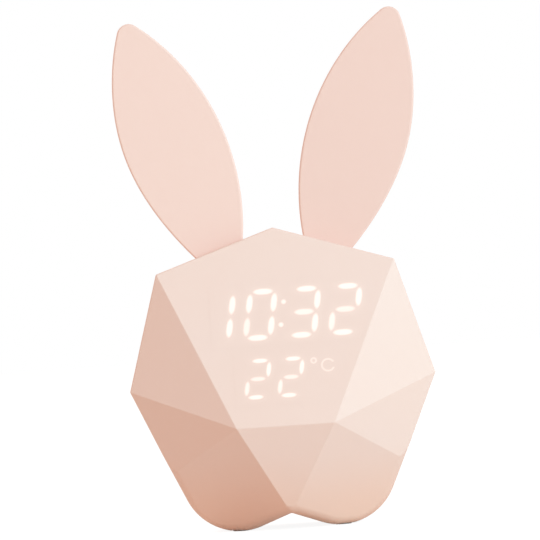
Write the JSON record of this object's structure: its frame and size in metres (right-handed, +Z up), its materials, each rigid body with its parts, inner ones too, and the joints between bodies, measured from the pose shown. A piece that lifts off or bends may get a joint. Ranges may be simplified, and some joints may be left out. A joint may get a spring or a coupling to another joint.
{
  "type": "kids alarm clock with night light",
  "caption": "Faceted pink animal-head alarm clock with pull-out ears, a display shining through its face, a night light, rear buttons and a USB inlet.",
  "frame": {"origin": "on the table, under the middle of the clock's bounding box", "axes": "+Z up, the face looks along -Y, +X to the right as seen from the front"},
  "size_m": [0.1054, 0.0599, 0.1779],
  "materials": {
    "pink_shell": "satin, slightly translucent",
    "pink_rear": "satin",
    "pink_ear": "satin",
    "black_plastic": "matte",
    "white_plastic": "satin",
    "light_guide": "translucent",
    "led": "clear over phosphor",
    "green_board": "solder resist",
    "steel": "zinc plated",
    "magnet": "nickel plated",
    "speaker_metal": "zinc plated",
    "paper_cone": "pressed paper",
    "foam": "closed-cell foam",
    "battery_wrap": "laminated pouch",
    "ribbon": "flat cable",
    "lead_insulation": "soft insulation",
    "pad_rubber": "matte",
    "opal": "opal",
    "sensor_bead": "epoxy",
    "button_cap": "satin",
    "plunger": "matte"
  },
  "bodies": {
    "housing": {"battery": "battery_wrap", "battery_leads": "lead_insulation", "battery_pad": "foam", "battery_plug": "white_plastic", "button_switches": "black_plastic", "clock_crystal": "steel", "colon_light_guides": "light_guide", "controller_chip": "black_plastic", "display_board": "green_board", "display_connector": "black_plastic", "display_leds": "led", "display_mask": "black_plastic", "display_screws": "steel", "foot_pads": "pad_rubber", "front_shell": "pink_shell", "light_diffuser": "opal", "main_board": "green_board", "main_board_screws": "steel", "microphone": "steel", "night_light_board": "green_board", "night_light_leads": "lead_insulation", "night_light_leds": "led", "night_light_plug": "white_plastic", "night_light_screws": "steel", "rear_magnets": "magnet", "rear_shell": "pink_rear", "ribbon_cable": "ribbon", "ribbon_connector": "black_plastic", "sensor_legs": "steel", "shell_screws": "steel", "speaker": "speaker_metal", "speaker_cone": "paper_cone", "speaker_gasket": "foam", "speaker_leads": "lead_insulation", "speaker_plug": "white_plastic", "temperature_light_guides": "light_guide", "temperature_sensor": "sensor_bead", "time_light_guides": "light_guide", "unit_light_guides": "light_guide", "usb_port": "steel", "usb_tongue": "black_plastic"},
    "left_ear": {"left_ear": "pink_ear"},
    "right_ear": {"right_ear": "pink_ear"},
    "clock_button": {"clock_button": "button_cap", "clock_plunger": "plunger"},
    "alarm_button": {"alarm_button": "button_cap", "alarm_plunger": "plunger"},
    "sound_button": {"sound_button": "button_cap", "sound_plunger": "plunger"},
    "light_button": {"light_button": "button_cap", "light_plunger": "plunger"}
  },
  "joints": [
    {"name": "left_ear_pull", "type": "slide", "parent": "housing", "child": "left_ear", "axis": [-0.3128, 0, 0.9498], "range_m": [0, 0.012]},
    {"name": "right_ear_pull", "type": "slide", "parent": "housing", "child": "right_ear", "axis": [0.3128, 0, 0.9498], "range_m": [0, 0.012]},
    {"name": "clock_press", "type": "slide", "parent": "housing", "child": "clock_button", "axis": [0, -1, 0], "range_m": [0, 0.0006], "stiffness_N_per_m": 1500},
    {"name": "alarm_press", "type": "slide", "parent": "housing", "child": "alarm_button", "axis": [0, -1, 0], "range_m": [0, 0.0006], "stiffness_N_per_m": 1500},
    {"name": "sound_press", "type": "slide", "parent": "housing", "child": "sound_button", "axis": [0, -1, 0], "range_m": [0, 0.0006], "stiffness_N_per_m": 1500},
    {"name": "light_press", "type": "slide", "parent": "housing", "child": "light_button", "axis": [0, -1, 0], "range_m": [0, 0.0006], "stiffness_N_per_m": 1500}
  ]
}
